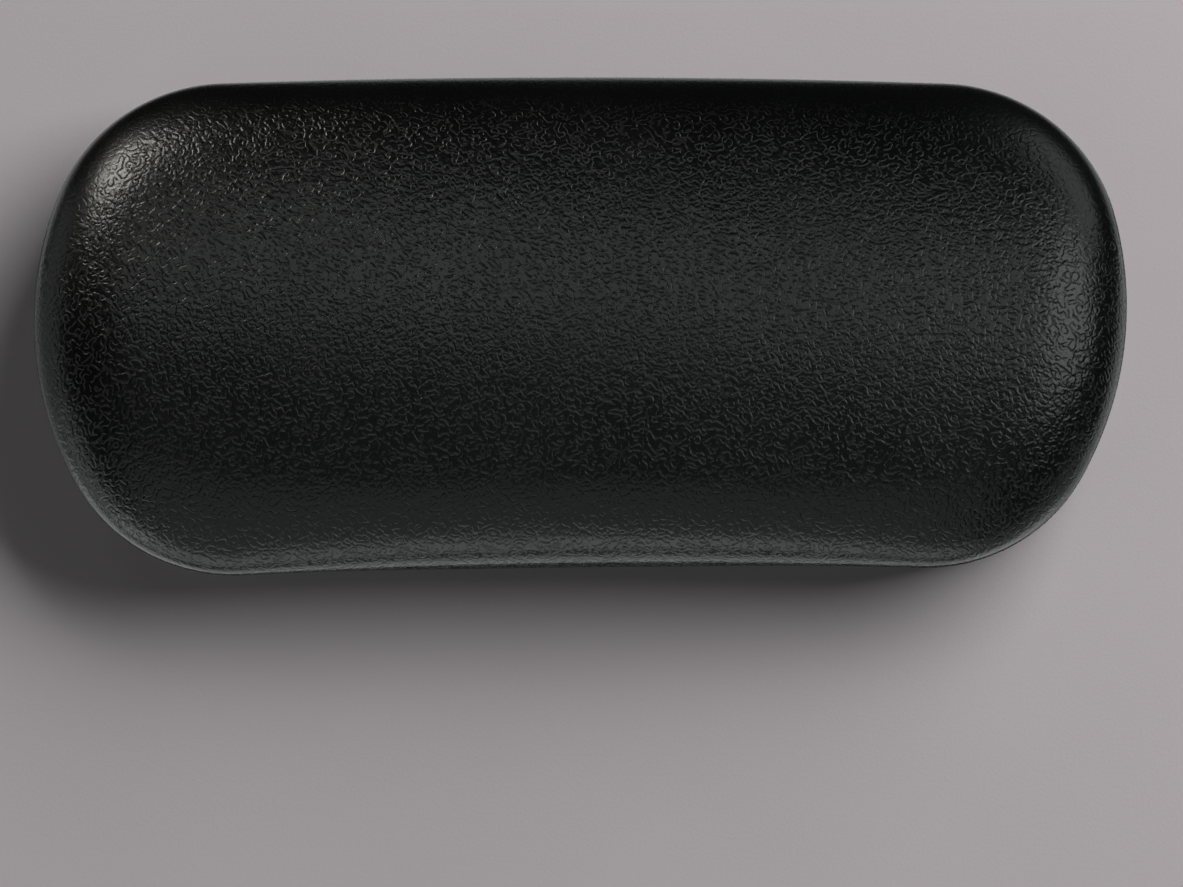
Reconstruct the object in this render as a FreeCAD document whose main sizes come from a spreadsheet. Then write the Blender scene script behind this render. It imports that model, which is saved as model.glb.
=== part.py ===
import FreeCAD, Part
import math
import os
import re
import Sketcher

# Armrest pad of an office chair, in millimetres.
# +X runs to the front of the chair arm, +Y to the straighter long side, +Z up.
# The origin lies under the middle of the pad, in the plane of the lip that meets the chair arm.
#
# A black moulded skin and its foam core wrap a nylon insert. A steel mounting plate with four
# clinched nuts is screwed to the insert from below, into six brass inserts.

DIMENSIONS = [
    # the outline at the widest level, eight tangent arcs
    ("pad_length", 240.0, "overall length"),
    ("pad_width", 112.0, "overall width"),
    ("rear_end_radius", 78.0, "arc across the rear end"),
    ("rear_end_shift", 2.5, "sideways shift of the rear arc's centre"),
    ("front_end_radius", 81.0, "arc across the front end"),
    ("front_end_shift", 6.0, "sideways shift of the front arc's centre"),
    ("rear_outer_radius", 39.0, "corner between rear end and straighter side"),
    ("front_outer_radius", 39.0, "corner between front end and straighter side"),
    ("rear_inner_radius", 40.0, "corner between rear end and waisted side"),
    ("front_inner_radius", 39.0, "corner between front end and waisted side"),
    ("front_inner_set_in", 1.7, "how much narrower the pad is at that corner"),
    ("outer_side_radius", 2600.0, "outward bow of the straighter side"),
    ("waist_radius", 1800.0, "inward bow of the waisted side"),
    # the section
    ("pad_height", 28.0, "height over the crown"),
    ("widest_height", 11.0, "level of the widest outline"),
    ("lip_inset", 2.5, "undercut from the widest outline down to the lip"),
    ("crown_along", 1440.0, "radius of the crown lengthwise"),
    ("crown_across", 208.0, "radius of the crown crosswise"),
    ("shoulder_radius", 11.0, "rounding from the side to the crown"),
    ("skin_thickness", 1.5, "thickness of the moulded skin"),
    # the nylon insert
    ("opening_inset", 14.0, "from the widest outline to the opening in the underside"),
    ("flange_inset", 5.0, "from the widest outline to the edge of the insert's flange"),
    ("insert_floor", 5.0, "underside of the insert's flange and deck"),
    ("deck_thickness", 3.0, "flange and deck"),
    ("insert_foot", 0.6, "lowest edge of the insert's sealing wall"),
    ("wall_thickness", 2.5, "sealing wall"),
    ("rib_thickness", 2.0, "ribs under the deck"),
    ("rib_foot", 0.9, "lowest edge of the ribs"),
    ("rib_pitch_along", 17.0, "spacing of the ribs that run crosswise"),
    ("rib_pitch_across", 12.5, "spacing of the ribs that run lengthwise"),
    ("keying_radius", 2.5, "holes in the flange that the foam fills"),
    ("keying_inset", 10.3, "from the widest outline to the centres of the keying holes"),
    ("keying_pitch", 15.0, "spacing of the keying holes along the sides"),
    ("keying_angle", 13.0, "spacing of the keying holes round the ends, in degrees"),
    # the mounting plate
    ("plate_length", 150.0, "mounting plate, lengthwise"),
    ("plate_width", 66.0, "mounting plate, crosswise"),
    ("plate_thickness", 2.5, "sheet steel"),
    ("plate_level", 1.2, "underside of the plate"),
    ("plate_corner", 8.0, "corner radius of the plate"),
    ("plate_edge", 0.35, "rounding along the plate's edges"),
    ("plate_gap", 0.5, "room between the plate and the insert round it"),
    ("window_length", 44.0, "window in the middle of the plate"),
    ("window_width", 16.0, "window in the middle of the plate"),
    # the clinched nuts, which take the chair's own M6 screws
    ("bolt_pitch_along", 101.6, "spacing of the chair's screws, lengthwise"),
    ("bolt_pitch_across", 45.0, "spacing of the chair's screws, crosswise"),
    ("nut_bore_radius", 2.5, "M6 tapping size"),
    ("nut_shank_radius", 4.35, "shank pressed into the plate"),
    ("nut_head_radius", 5.5, "head on top of the plate"),
    ("nut_head_height", 4.1, "head on top of the plate"),
    ("nut_bevel", 0.5, "bevel round the head"),
    ("cup_radius", 6.6, "inside of the cup that keeps foam off the nut"),
    ("cup_wall", 1.8, "wall and top of the cup"),
    ("cup_top", 13.0, "top of the cup"),
    # the plate's own screws
    ("screw_pitch_along", 68.0, "spacing of the plate's screws, lengthwise"),
    ("screw_pitch_across", 50.0, "spacing of the plate's screws, crosswise"),
    ("screw_radius", 2.0, "M4 thread"),
    ("screw_length", 8.0, "overall, countersunk head included"),
    ("screw_head_radius", 4.0, "countersunk head"),
    ("screw_head_rim", 0.3, "straight rim of the head"),
    ("screw_sunk", 0.1, "head below the plate's face"),
    ("socket_across", 2.5, "hexagon socket, across flats"),
    ("socket_depth", 1.5, "hexagon socket"),
    ("sink_radius", 4.4, "countersink in the plate"),
    ("clearance_radius", 2.25, "screw hole in the plate"),
    # the brass inserts and their bosses
    ("brass_radius", 2.8, "outside of the insert"),
    ("brass_length", 6.0, "length of the insert"),
    ("brass_gap", 0.5, "between the plate and the insert's end"),
    ("boss_radius", 4.6, "boss in the nylon"),
    ("boss_top", 12.0, "top of the boss"),
    ("boss_bore_top", 10.8, "top of the bore in the boss"),
    ("fit", 0.03, "running gap between pressed and threaded pieces"),
]
size = {alias: number for alias, number, note in DIMENSIONS}

doc = FreeCAD.newDocument("armrest_pad")
sheet = doc.addObject("Spreadsheet::Sheet", "dims")
for row, (alias, number, note) in enumerate(DIMENSIONS, start=1):
    sheet.set(f"A{row}", note)
    sheet.set(f"B{row}", str(number))
    sheet.setAlias(f"B{row}", alias)
doc.recompute()

# how a sketch numbers its own axes and the middle of a circle
ORIGIN_POINT = (-1, 1)
HORIZONTAL_AXIS = -1
VERTICAL_AXIS = -2
CENTRE = 3


# ---- helpers ---------------------------------------------------------------------------------

def bind(feature, target, formula):
    """Tie a property to the sheet. The words in the formula are the aliases of its cells."""
    cells = re.sub(r"\b(?!sqrt\b)[a-z]\w*", lambda word: "dims." + word.group(), formula)
    feature.setExpression(target, cells)


def new_body(name):
    body = doc.addObject("PartDesign::Body", name)
    body.Label = name
    return body


def origin_feature(body, role):
    return next(feature for feature in body.Origin.OriginFeatures if feature.Role == role)


def new_sketch(body, name, level="0", plane="XY_Plane"):
    """A sketch on one of the body's own planes, raised to a level given as a formula."""
    sketch = body.newObject("Sketcher::SketchObject", name)
    sketch.AttachmentSupport = [(origin_feature(body, plane), "")]
    sketch.MapMode = "FlatFace"
    bind(sketch, "AttachmentOffset.Base.z", level)
    return sketch


def dimension(sketch, name, constraint, formula):
    """Add a driving dimension and bind it to the sheet."""
    index = sketch.addConstraint(constraint)
    sketch.renameConstraint(index, name)
    bind(sketch, f"Constraints.{name}", formula)


def put_centre(sketch, geometry, side, axis, formula):
    """Set how far a circle's centre lies from the origin along X or Y, on the side of that sign."""
    if side == 0:
        other_axis = VERTICAL_AXIS if axis == "X" else HORIZONTAL_AXIS
        sketch.addConstraint(Sketcher.Constraint("PointOnObject", geometry, CENTRE, other_axis))
        return
    centre = sketch.Geometry[geometry].Center
    start = abs(centre.x if axis == "X" else centre.y)
    ends = [ORIGIN_POINT, (geometry, CENTRE)]
    if side < 0:
        ends.reverse()
    constraint = Sketcher.Constraint("Distance" + axis, *ends[0], *ends[1], start)
    dimension(sketch, f"{axis.lower()}_{geometry}", constraint, formula)


def add_circles(sketch, radius, spots):
    """Circles of one radius. A spot is (side along X, formula, side along Y, formula)."""
    for side_x, along, side_y, across in spots:
        start = FreeCAD.Vector(side_x * 50.0, side_y * 25.0, 0)
        circle = sketch.addGeometry(Part.Circle(start, FreeCAD.Vector(0, 0, 1), 3.0))
        put_centre(sketch, circle, side_x, "X", along)
        put_centre(sketch, circle, side_y, "Y", across)
        dimension(sketch, f"radius_{circle}", Sketcher.Constraint("Radius", circle, 3.0), radius)


def add_rectangle(sketch, along, across):
    """A rectangle about the sketch's origin."""
    corners = [FreeCAD.Vector(10.0 * x, 5.0 * y, 0) for x, y in ((-1, -1), (1, -1), (1, 1), (-1, 1))]
    lines = [sketch.addGeometry(Part.LineSegment(corners[i], corners[(i + 1) % 4])) for i in range(4)]
    for i, line in enumerate(lines):
        sketch.addConstraint(Sketcher.Constraint("Coincident", line, 2, lines[(i + 1) % 4], 1))
        sketch.addConstraint(Sketcher.Constraint("Vertical" if i % 2 else "Horizontal", line))
    sketch.addConstraint(Sketcher.Constraint("Symmetric", lines[0], 1, lines[2], 1, *ORIGIN_POINT))
    length = Sketcher.Constraint("DistanceX", lines[0], 1, lines[0], 2, 20.0)
    width = Sketcher.Constraint("DistanceY", lines[1], 1, lines[1], 2, 10.0)
    dimension(sketch, "along", length, along)
    dimension(sketch, "across", width, across)


def pad(body, sketch, name, length):
    feature = body.newObject("PartDesign::Pad", name)
    feature.Profile = sketch
    bind(feature, "Length", length)
    return feature


def pocket_up(body, sketch, name, depth=None):
    """Cut upwards from the sketch, to a depth or right through."""
    feature = body.newObject("PartDesign::Pocket", name)
    feature.Profile = sketch
    feature.Reversed = True
    if depth is None:
        feature.Type = "ThroughAll"
    else:
        bind(feature, "Length", depth)
    return feature


def spots(along, across, columns=(-1, 1)):
    """The places of a hole pattern that is symmetrical about both axes."""
    return [(column, along, row, across) for column in columns for row in (-1, 1)]


# ---- the pad's outline -----------------------------------------------------------------------

def circle_crossing(first, first_radius, second, second_radius, side):
    """Where two circles cross, on the left (+1) or right (-1) of the line between their centres."""
    span = second - first
    along = (first_radius**2 - second_radius**2 + span.Length**2) / (2 * span.Length)
    across = math.sqrt(first_radius**2 - along**2)
    normal = FreeCAD.Vector(-span.y, span.x, 0).normalize()
    return first + span.normalize() * along + normal * (side * across)


def outline_arcs():
    """Centre and radius of each arc of the widest outline, anticlockwise from the outer side."""
    half_length = size["pad_length"] / 2
    half_width = size["pad_width"] / 2
    rear = FreeCAD.Vector(size["rear_end_radius"] - half_length, size["rear_end_shift"], 0)
    front = FreeCAD.Vector(half_length - size["front_end_radius"], size["front_end_shift"], 0)
    outer = FreeCAD.Vector(0, half_width - size["outer_side_radius"], 0)

    def outer_corner(end, end_radius, radius, side):
        return circle_crossing(outer, size["outer_side_radius"] - radius, end, end_radius - radius, side)

    def inner_corner(end, end_radius, radius, set_in, direction):
        centre_y = radius + set_in - half_width
        run = math.sqrt((end_radius - radius) ** 2 - (centre_y - end.y) ** 2)
        return FreeCAD.Vector(end.x + direction * run, centre_y, 0)

    rear_outer = outer_corner(rear, size["rear_end_radius"], size["rear_outer_radius"], 1)
    front_outer = outer_corner(front, size["front_end_radius"], size["front_outer_radius"], -1)
    rear_inner = inner_corner(rear, size["rear_end_radius"], size["rear_inner_radius"], 0.0, -1)
    front_inner = inner_corner(front, size["front_end_radius"], size["front_inner_radius"],
                               size["front_inner_set_in"], 1)
    waist = circle_crossing(rear_inner, size["waist_radius"] + size["rear_inner_radius"],
                            front_inner, size["waist_radius"] + size["front_inner_radius"], -1)
    return [
        ("outer_side", outer, size["outer_side_radius"]),
        ("rear_outer", rear_outer, size["rear_outer_radius"]),
        ("rear_end", rear, size["rear_end_radius"]),
        ("rear_inner", rear_inner, size["rear_inner_radius"]),
        ("waist", waist, size["waist_radius"]),
        ("front_inner", front_inner, size["front_inner_radius"]),
        ("front_end", front, size["front_end_radius"]),
        ("front_outer", front_outer, size["front_outer_radius"]),
    ]


def tangent_point(first, second):
    """The point where two neighbouring arcs of the outline meet."""
    (name, centre, radius), (other_name, other_centre, other_radius) = first, second
    if "waist" in (name, other_name):
        return centre + (other_centre - centre).normalize() * radius
    if radius > other_radius:
        return centre + (other_centre - centre).normalize() * radius
    return centre + (centre - other_centre).normalize() * radius


def add_outline(sketch, inset, inset_value):
    """The outline moved inwards: the same eight centres, with every radius changed by the inset."""
    arcs = outline_arcs()
    meets = [tangent_point(arc, arcs[(i + 1) % 8]) for i, arc in enumerate(arcs)]
    numbers = {}
    for i, (name, centre, radius) in enumerate(arcs):
        begin, end = meets[i - 1] - centre, meets[i] - centre
        if name == "waist":
            begin, end = end, begin
        start_angle = math.atan2(begin.y, begin.x)
        end_angle = math.atan2(end.y, end.x)
        if end_angle < start_angle:
            end_angle += 2 * math.pi
        sign = 1 if name == "waist" else -1
        circle = Part.Circle(centre, FreeCAD.Vector(0, 0, 1), radius + sign * inset_value)
        numbers[name] = sketch.addGeometry(Part.ArcOfCircle(circle, start_angle, end_angle))
    names = [name for name, centre, radius in arcs]
    for i, name in enumerate(names):
        following = names[(i + 1) % 8]
        last_point = 1 if name == "waist" else 2
        first_point = 2 if following == "waist" else 1
        sketch.addConstraint(
            Sketcher.Constraint("Tangent", numbers[name], last_point, numbers[following], first_point))
    for name, number in numbers.items():
        formula = f"{name}_radius {'+' if name == 'waist' else '-'} ({inset})"
        start = sketch.Geometry[number].Radius
        dimension(sketch, f"radius_{number}", Sketcher.Constraint("Radius", number, start), formula)
    put_centre(sketch, numbers["outer_side"], 0, "X", "0")
    put_centre(sketch, numbers["outer_side"], -1, "Y", "outer_side_radius - pad_width / 2")
    for end, direction in (("rear", -1), ("front", 1)):
        put_centre(sketch, numbers[f"{end}_end"], direction, "X", f"pad_length / 2 - {end}_end_radius")
        put_centre(sketch, numbers[f"{end}_end"], 1, "Y", f"{end}_end_shift")
    put_centre(sketch, numbers["rear_inner"], -1, "Y", "pad_width / 2 - rear_inner_radius")
    put_centre(sketch, numbers["front_inner"], -1, "Y",
               "pad_width / 2 - front_inner_radius - front_inner_set_in")


# ---- skin and foam ---------------------------------------------------------------------------

def pad_form(name, shell):
    """The pad's closed form. `shell` is how far inside the outer surface it lies, as a formula."""
    inside = size["skin_thickness"] if shell != "0" else 0.0
    body = new_body(name)
    lip = new_sketch(body, name + "_lip", shell)
    add_outline(lip, f"lip_inset + {shell}", size["lip_inset"] + inside)
    widest = new_sketch(body, name + "_widest", "widest_height")
    add_outline(widest, shell, inside)
    flank = body.newObject("PartDesign::AdditiveLoft", name + "_flank")
    flank.Profile = lip
    flank.Sections = [widest]
    flank.Ruled = True
    upper = new_sketch(body, name + "_upper", "widest_height")
    add_outline(upper, shell, inside)
    pad(body, upper, name + "_block", "pad_height - widest_height")

    crown = doc.addObject("Part::Torus", name + "_crown")
    bind(crown, "Radius1", "crown_along - crown_across")
    bind(crown, "Radius2", f"crown_across - ({shell})")
    crown.Placement = FreeCAD.Placement(FreeCAD.Vector(), FreeCAD.Rotation(FreeCAD.Vector(1, 0, 0), 90))
    bind(crown, "Placement.Base.z", "pad_height - crown_along")
    crowned = doc.addObject("Part::Common", name + "_crowned")
    crowned.Base = body
    crowned.Tool = crown
    doc.recompute()

    # the shoulder: every edge where the side meets the crown, well above the widest level
    rounded = doc.addObject("Part::Fillet", name)
    rounded.Base = crowned
    radius = size["shoulder_radius"] - inside
    rim_level = size["widest_height"] + 1.0
    rim = [i for i, edge in enumerate(crowned.Shape.Edges, start=1) if edge.BoundBox.ZMin > rim_level]
    rounded.Edges = [(i, radius, radius) for i in rim]
    return rounded


def difference(name, base, tool):
    cut = doc.addObject("Part::Cut", name)
    cut.Label = name
    cut.Base = base
    cut.Tool = tool
    return cut


def opening_block():
    """What the mould's core keeps open: the room of the insert's sealed underside."""
    body = new_body("opening_block")
    sketch = new_sketch(body, "opening_outline")
    add_outline(sketch, "opening_inset", size["opening_inset"])
    pad(body, sketch, "opening_height", "insert_floor")
    return body


# ---- the nylon insert ------------------------------------------------------------------------

NUT_SPOTS = spots("bolt_pitch_along / 2", "bolt_pitch_across / 2")
SCREW_SPOTS = spots("screw_pitch_along", "screw_pitch_across / 2", columns=(-1, 0, 1))


def embedded_form(body):
    """The part of the insert that the foam surrounds: flange and deck, cups, bosses, keying holes."""
    prefix = body.Label
    deck = new_sketch(body, prefix + "_deck_outline", "insert_floor")
    add_outline(deck, "flange_inset", size["flange_inset"])
    pad(body, deck, prefix + "_deck", "deck_thickness")

    cups = new_sketch(body, prefix + "_cup_circles", "insert_floor")
    add_circles(cups, "cup_radius + cup_wall", NUT_SPOTS)
    pad(body, cups, prefix + "_cups", "cup_top - insert_floor")

    bosses = new_sketch(body, prefix + "_boss_circles", "insert_floor")
    add_circles(bosses, "boss_radius", SCREW_SPOTS)
    pad(body, bosses, prefix + "_bosses", "boss_top - insert_floor")

    # keying holes: one along each long side, repeated lengthwise
    row = new_sketch(body, prefix + "_side_keys")
    add_circles(row, "keying_radius", [(-1, "4 * keying_pitch", side, "pad_width / 2 - keying_inset")
                                       for side in (-1, 1)])
    first_pair = pocket_up(body, row, prefix + "_side_key_holes")
    along = body.newObject("PartDesign::LinearPattern", prefix + "_side_key_rows")
    along.Originals = [first_pair]
    along.Direction = (origin_feature(body, "X_Axis"), [""])
    along.Occurrences = 9
    bind(along, "Length", "8 * keying_pitch")
    body.Tip = along

    # and one at each end, repeated about the centre of the end's own arc
    for end, turn in (("rear", 180.0), ("front", 0.0)):
        ring = new_sketch(body, f"{prefix}_{end}_key")
        side = 1 if end == "front" else -1
        bind(ring, "AttachmentOffset.Base.x", f"{side} * (pad_length / 2 - {end}_end_radius)")
        bind(ring, "AttachmentOffset.Base.y", f"{end}_end_shift")
        ring.setExpression("AttachmentOffset.Rotation.Angle", f"{turn} - 2 * dims.keying_angle")
        add_circles(ring, "keying_radius", [(1, f"{end}_end_radius - keying_inset", 0, "0")])
        hole = pocket_up(body, ring, f"{prefix}_{end}_key_hole")
        fan = body.newObject("PartDesign::PolarPattern", f"{prefix}_{end}_key_fan")
        fan.Originals = [hole]
        fan.Axis = (ring, ["N_Axis"])
        fan.Occurrences = 5
        bind(fan, "Angle", "4 * keying_angle")
        body.Tip = fan


def rib_row(body, name, role, along, across, pitch, count):
    """Equal ribs under the deck, side by side at an even pitch about the middle."""
    sketch = new_sketch(body, name + "_outline", "rib_foot")
    add_rectangle(sketch, along, across)
    offset = "AttachmentOffset.Base.x" if role == "X_Axis" else "AttachmentOffset.Base.y"
    bind(sketch, offset, f"-{(count - 1) / 2} * {pitch}")
    rib = pad(body, sketch, name, "insert_floor - rib_foot")
    row = body.newObject("PartDesign::LinearPattern", name + "_row")
    row.Originals = [rib]
    row.Direction = (origin_feature(body, role), [""])
    row.Occurrences = count
    bind(row, "Length", f"{count - 1} * {pitch}")
    body.Tip = row


def support_insert():
    body = new_body("support_insert")
    embedded_form(body)
    rib_row(body, "cross_ribs", "X_Axis", "rib_thickness", "pad_width - 2 * opening_inset",
            "rib_pitch_along", 11)
    rib_row(body, "long_ribs", "Y_Axis", "pad_length - 2 * opening_inset", "rib_thickness",
            "rib_pitch_across", 5)
    # trim the ribs to the middle of the sealing wall, then stand the wall round them
    surround = new_sketch(body, "rib_trim_outline")
    wall_middle = size["opening_inset"] + size["wall_thickness"] / 2
    add_outline(surround, "opening_inset + wall_thickness / 2", wall_middle)
    add_outline(surround, "0", 0.0)
    pocket_up(body, surround, "rib_trim", "insert_floor")
    wall = new_sketch(body, "wall_outline", "insert_foot")
    add_outline(wall, "opening_inset", size["opening_inset"])
    add_outline(wall, "opening_inset + wall_thickness", size["opening_inset"] + size["wall_thickness"])
    pad(body, wall, "sealing_wall", "insert_floor - insert_foot")
    # the seat of the mounting plate
    seat = new_sketch(body, "plate_seat_outline")
    add_rectangle(seat, "plate_length + 2 * plate_gap", "plate_width + 2 * plate_gap")
    pocket_up(body, seat, "plate_seat", "plate_level + plate_thickness")
    rings = new_sketch(body, "seat_ring_circles", "plate_level + plate_thickness")
    add_circles(rings, "cup_radius + cup_wall", NUT_SPOTS)
    add_circles(rings, "boss_radius", SCREW_SPOTS)
    pad(body, rings, "seat_rings", "insert_floor - plate_level - plate_thickness")
    # the hollows for the nuts and the brass inserts
    cavities = new_sketch(body, "cup_hollow_circles")
    add_circles(cavities, "cup_radius", NUT_SPOTS)
    pocket_up(body, cavities, "cup_hollows", "cup_top - cup_wall")
    bores = new_sketch(body, "boss_bore_circles")
    add_circles(bores, "brass_radius + fit", SCREW_SPOTS)
    pocket_up(body, bores, "boss_bores", "boss_bore_top")
    return body


# ---- plate and fasteners ---------------------------------------------------------------------

def mounting_plate():
    body = new_body("mounting_plate")
    blank = new_sketch(body, "plate_outline", "plate_level")
    add_rectangle(blank, "plate_length", "plate_width")
    sheet_steel = pad(body, blank, "plate_sheet", "plate_thickness")
    doc.recompute()
    corners = body.newObject("PartDesign::Fillet", "plate_corners")
    upright = [f"Edge{i}" for i, edge in enumerate(sheet_steel.Shape.Edges, start=1)
               if edge.BoundBox.ZLength > size["plate_thickness"] / 2]
    corners.Base = (sheet_steel, upright)
    bind(corners, "Radius", "plate_corner")
    doc.recompute()
    rim = body.newObject("PartDesign::Fillet", "plate_rim")
    flat = [f"Edge{i}" for i, edge in enumerate(corners.Shape.Edges, start=1)
            if edge.BoundBox.ZLength < size["plate_thickness"] / 2]
    rim.Base = (corners, flat)
    bind(rim, "Radius", "plate_edge")

    nut_holes = new_sketch(body, "nut_hole_circles")
    add_circles(nut_holes, "nut_shank_radius + fit", NUT_SPOTS)
    pocket_up(body, nut_holes, "nut_holes")
    screw_holes = new_sketch(body, "screw_hole_circles")
    add_circles(screw_holes, "clearance_radius", SCREW_SPOTS)
    pocket_up(body, screw_holes, "screw_holes")
    for i, (side_x, along, side_y, across) in enumerate(SCREW_SPOTS):
        sink = body.newObject("PartDesign::SubtractiveCone", f"countersink_{i}")
        sink.AttachmentSupport = [(origin_feature(body, "XY_Plane"), "")]
        sink.MapMode = "FlatFace"
        bind(sink, "AttachmentOffset.Base.x", f"{side_x} * {along}")
        bind(sink, "AttachmentOffset.Base.y", f"{side_y} * {across}")
        bind(sink, "AttachmentOffset.Base.z", "plate_level")
        bind(sink, "Radius1", "sink_radius")
        bind(sink, "Radius2", "clearance_radius")
        bind(sink, "Height", "sink_radius - clearance_radius")
    window = new_sketch(body, "window_outline")
    add_slot(window, "window_length", "window_width")
    pocket_up(body, window, "window")
    return body


def add_slot(sketch, length, width):
    """A slot with round ends about the sketch's origin, lengthwise along X."""
    up = FreeCAD.Vector(0, 0, 1)
    quarter = math.pi / 2
    right_end = Part.Circle(FreeCAD.Vector(10, 0, 0), up, 5)
    left_end = Part.Circle(FreeCAD.Vector(-10, 0, 0), up, 5)
    right = sketch.addGeometry(Part.ArcOfCircle(right_end, -quarter, quarter))
    left = sketch.addGeometry(Part.ArcOfCircle(left_end, quarter, 3 * quarter))
    top = sketch.addGeometry(Part.LineSegment(FreeCAD.Vector(10, 5, 0), FreeCAD.Vector(-10, 5, 0)))
    bottom = sketch.addGeometry(Part.LineSegment(FreeCAD.Vector(-10, -5, 0), FreeCAD.Vector(10, -5, 0)))
    for first, second in ((right, top), (top, left), (left, bottom), (bottom, right)):
        sketch.addConstraint(Sketcher.Constraint("Tangent", first, 2, second, 1))
    sketch.addConstraint(Sketcher.Constraint("Horizontal", top))
    sketch.addConstraint(Sketcher.Constraint("Equal", right, left))
    sketch.addConstraint(Sketcher.Constraint("Symmetric", right, CENTRE, left, CENTRE, *ORIGIN_POINT))
    dimension(sketch, "end_radius", Sketcher.Constraint("Radius", right, 5.0), f"{width} / 2")
    dimension(sketch, "span", Sketcher.Constraint("DistanceX", left, CENTRE, right, CENTRE, 20.0),
              f"{length} - {width}")


def turned(name, profile):
    """A body turned about Z. The profile is a list of (radius, level) corners, given as formulas."""
    body = new_body(name)
    sketch = new_sketch(body, name + "_profile", plane="XZ_Plane")
    count = len(profile)
    angle = [2 * math.pi * i / count for i in range(count)]
    loop = [FreeCAD.Vector(20 + 8 * math.cos(a), 20 + 8 * math.sin(a), 0) for a in angle]
    lines = [sketch.addGeometry(Part.LineSegment(loop[i], loop[(i + 1) % count])) for i in range(count)]
    for i, line in enumerate(lines):
        sketch.addConstraint(Sketcher.Constraint("Coincident", line, 2, lines[(i + 1) % count], 1))
    for line, (radius, level) in zip(lines, profile):
        start = sketch.Geometry[line].StartPoint
        if radius == "0":
            sketch.addConstraint(Sketcher.Constraint("PointOnObject", line, 1, VERTICAL_AXIS))
        else:
            across = Sketcher.Constraint("DistanceX", *ORIGIN_POINT, line, 1, start.x)
            dimension(sketch, f"radius_{line}", across, radius)
        upwards = Sketcher.Constraint("DistanceY", *ORIGIN_POINT, line, 1, start.y)
        dimension(sketch, f"level_{line}", upwards, level)
    spin = body.newObject("PartDesign::Revolution", name + "_turned")
    spin.Profile = sketch
    spin.ReferenceAxis = (origin_feature(body, "Z_Axis"), [""])
    spin.Angle = 360.0
    body.Tip = spin
    return body


def stand_at(body, spot):
    side_x, along, side_y, across = spot
    bind(body, "Placement.Base.x", f"{side_x} * ({along})")
    bind(body, "Placement.Base.y", f"{side_y} * ({across})")


def clinch_nut(number, spot):
    """A self-clinching nut: a shank pressed into the plate from above, and a bevelled round head."""
    top = "plate_level + plate_thickness + nut_head_height"
    nut = turned(f"clinch_nut_{number}", [
        ("nut_bore_radius", "plate_level"),
        ("nut_shank_radius", "plate_level"),
        ("nut_shank_radius", "plate_level + plate_thickness"),
        ("nut_head_radius", "plate_level + plate_thickness"),
        ("nut_head_radius", f"{top} - nut_bevel"),
        ("nut_head_radius - nut_bevel", top),
        ("nut_bore_radius", top),
    ])
    stand_at(nut, spot)
    return nut


def plate_screw(number, spot):
    """A countersunk M4 screw, head downwards in the plate, with a hexagon socket."""
    name = f"plate_screw_{number}"
    face = "plate_level + screw_sunk"
    screw = turned(name, [
        ("0", face),
        ("screw_head_radius", face),
        ("screw_head_radius", f"{face} + screw_head_rim"),
        ("screw_radius", f"{face} + screw_head_rim + screw_head_radius - screw_radius"),
        ("screw_radius", f"{face} + screw_length"),
        ("0", f"{face} + screw_length"),
    ])
    hexagon = new_sketch(screw, name + "_hexagon", face)
    corners = [FreeCAD.Vector(math.cos(i * math.pi / 3), math.sin(i * math.pi / 3), 0) for i in range(6)]
    lines = [hexagon.addGeometry(Part.LineSegment(corners[i], corners[(i + 1) % 6])) for i in range(6)]
    guide = hexagon.addGeometry(Part.Circle(FreeCAD.Vector(), FreeCAD.Vector(0, 0, 1), 1.0), True)
    hexagon.addConstraint(Sketcher.Constraint("Coincident", guide, CENTRE, *ORIGIN_POINT))
    for i, line in enumerate(lines):
        hexagon.addConstraint(Sketcher.Constraint("Coincident", line, 2, lines[(i + 1) % 6], 1))
        hexagon.addConstraint(Sketcher.Constraint("PointOnObject", line, 1, guide))
        if i:
            hexagon.addConstraint(Sketcher.Constraint("Equal", lines[0], line))
    hexagon.addConstraint(Sketcher.Constraint("PointOnObject", lines[0], 1, HORIZONTAL_AXIS))
    corner = Sketcher.Constraint("Radius", guide, 1.0)
    dimension(hexagon, "corner_radius", corner, "socket_across / sqrt(3)")
    pocket_up(screw, hexagon, name + "_socket", "socket_depth")
    stand_at(screw, spot)
    return screw


def brass_insert(number, spot):
    """A threaded brass bush, pressed into a boss of the nylon insert."""
    foot = "plate_level + plate_thickness + brass_gap"
    bush = turned(f"brass_insert_{number}", [
        ("screw_radius + fit", foot),
        ("brass_radius", foot),
        ("brass_radius", f"{foot} + brass_length"),
        ("screw_radius + fit", f"{foot} + brass_length"),
    ])
    stand_at(bush, spot)
    return bush


# ---- assembly --------------------------------------------------------------------------------

def build():
    """Make every piece, in the order in which the pad is put together."""
    outer_form = pad_form("outer_form", "0")
    inner_form = pad_form("inner_form", "skin_thickness")
    opening = opening_block()
    cavity = new_body("foam_cavity")
    embedded_form(cavity)
    skin_blank = difference("skin_blank", outer_form, inner_form)
    foam_blank = difference("foam_blank", inner_form, opening)
    pieces = [
        difference("skin", skin_blank, opening),
        difference("foam_core", foam_blank, cavity),
        support_insert(),
        mounting_plate(),
    ]
    pieces += [clinch_nut(number, spot) for number, spot in enumerate(NUT_SPOTS, start=1)]
    pieces += [plate_screw(number, spot) for number, spot in enumerate(SCREW_SPOTS, start=1)]
    pieces += [brass_insert(number, spot) for number, spot in enumerate(SCREW_SPOTS, start=1)]
    doc.recompute()
    return pieces


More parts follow.
